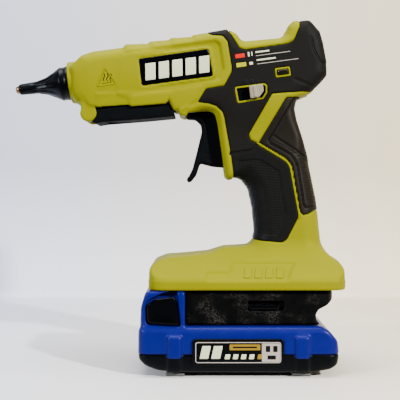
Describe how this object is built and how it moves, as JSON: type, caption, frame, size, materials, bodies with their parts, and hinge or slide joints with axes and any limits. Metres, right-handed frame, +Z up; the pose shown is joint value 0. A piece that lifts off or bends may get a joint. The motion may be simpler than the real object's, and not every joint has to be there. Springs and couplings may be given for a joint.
{
  "type": "cordless hot glue gun",
  "caption": "Pistol-shaped cordless hot glue gun with squeeze trigger, fold-out drip tray, open stick bay and side switch, standing on an adapter and a slide-on battery pack.",
  "frame": {"origin": "on the floor, at the centre of the bounding box", "axes": "+Z up; -X is where the nozzle points; -Y is the left side of the tool, with its switch and lamp"},
  "size_m": [0.2092, 0.0778, 0.2242],
  "materials": {
    "yellow": "moulded, satin",
    "dark": "soft overmould, matt",
    "black": "moulded, satin",
    "blue": "moulded, satin",
    "grey": "moulded, satin",
    "nylon": "moulded, matt",
    "ceramic": "matt",
    "silicone": "matt",
    "board": "solder mask",
    "lamp": "clear epoxy",
    "smoke": "polished",
    "red": "wire insulation",
    "cell": "shrink sleeve",
    "rubber": "matt",
    "silver": "printed film",
    "steel": "plain",
    "aluminium": "cast",
    "brass": "turned"
  },
  "bodies": {
    "housing": {"housing_left": "yellow", "housing_right": "yellow", "body_cover_left": "dark", "front_grip_left": "dark", "rear_grip_left": "dark", "badge_left": "black", "tool_contact_left": "brass", "body_cover_right": "dark", "front_grip_right": "dark", "rear_grip_right": "dark", "badge_right": "black", "tool_contact_right": "brass", "nozzle_sleeve": "black", "terminal_block": "black", "switch_body": "black", "nozzle_tip": "brass", "melt_chamber": "aluminium", "heater_plate": "ceramic", "heater_clip": "steel", "return_spring": "steel", "trigger_pin": "steel", "tray_pin": "steel", "housing_screw_1": "steel", "housing_screw_2": "steel", "housing_screw_3": "steel", "housing_screw_4": "steel", "inlet_seal": "silicone", "stick_trough": "dark", "control_board": "board", "status_led": "lamp", "led_lens": "smoke", "power_lead": "red", "heater_lead": "red"},
    "trigger": {"trigger": "black"},
    "carriage": {"feed_carriage": "nylon", "stick_gripper": "steel"},
    "drip_tray": {"drip_tray": "black"},
    "power_slider": {"power_slider": "grey"},
    "adapter": {"adapter_body": "black", "adapter_contact_left": "brass", "adapter_contact_right": "brass", "stem_contact_left": "brass", "stem_contact_right": "brass"},
    "adapter_latch_left": {"adapter_latch_left": "black"},
    "adapter_latch_right": {"adapter_latch_right": "black"},
    "battery": {"battery_upper_case": "blue", "battery_lower_case": "black", "battery_label_left": "silver", "battery_label_right": "silver", "battery_board": "board", "battery_foot_front": "rubber", "battery_foot_rear": "rubber", "cell_1": "cell", "cell_2": "cell", "cell_3": "cell", "cell_4": "cell", "cell_5": "cell", "cell_6": "cell"},
    "battery_release_left": {"battery_release_left": "black"},
    "battery_release_right": {"battery_release_right": "black"}
  },
  "joints": [
    {"name": "trigger_pull", "type": "hinge", "parent": "housing", "child": "trigger", "pos_m": [0.0289, 0, 0.1618], "axis": [0, -1, 0], "range_deg": [0, 20], "stiffness_Nm_per_rad": 0.15, "springref_deg": -11.46},
    {"name": "carriage_feed", "type": "slide", "parent": "housing", "child": "carriage", "axis": [-0.9914, 0, -0.1305], "range_m": [0, 0.0057], "deforming": ["return_spring"]},
    {"name": "drip_tray_fold", "type": "hinge", "parent": "housing", "child": "drip_tray", "pos_m": [-0.0575, 0, 0.1638], "axis": [0, 1, 0], "range_deg": [0, 155]},
    {"name": "power_switch", "type": "slide", "parent": "housing", "child": "power_slider", "axis": [-0.9914, 0, -0.1305], "range_m": [0, 0.008]},
    {"name": "adapter_drop", "type": "slide", "parent": "housing", "child": "adapter", "axis": [0, 0, -1], "range_m": [0, 0.06]},
    {"name": "battery_slide", "type": "slide", "parent": "adapter", "child": "battery", "axis": [-1, 0, 0], "range_m": [0, 0.09]},
    {"name": "adapter_latch_press_left", "type": "slide", "parent": "adapter", "child": "adapter_latch_left", "axis": [0, 1, 0], "range_m": [0, 0.0025], "stiffness_N_per_m": 200, "springref_m": -0.004},
    {"name": "adapter_latch_press_right", "type": "slide", "parent": "adapter", "child": "adapter_latch_right", "axis": [0, -1, 0], "range_m": [0, 0.0025], "stiffness_N_per_m": 200, "springref_m": -0.004},
    {"name": "battery_release_press_left", "type": "slide", "parent": "battery", "child": "battery_release_left", "axis": [0, 1, 0], "range_m": [0, 0.0025], "stiffness_N_per_m": 200, "springref_m": -0.004},
    {"name": "battery_release_press_right", "type": "slide", "parent": "battery", "child": "battery_release_right", "axis": [0, -1, 0], "range_m": [0, 0.0025], "stiffness_N_per_m": 200, "springref_m": -0.004}
  ],
  "couplings": [
    {"joint": "trigger_pull", "follows": "carriage_feed", "rad_per_m": 61.24}
  ]
}
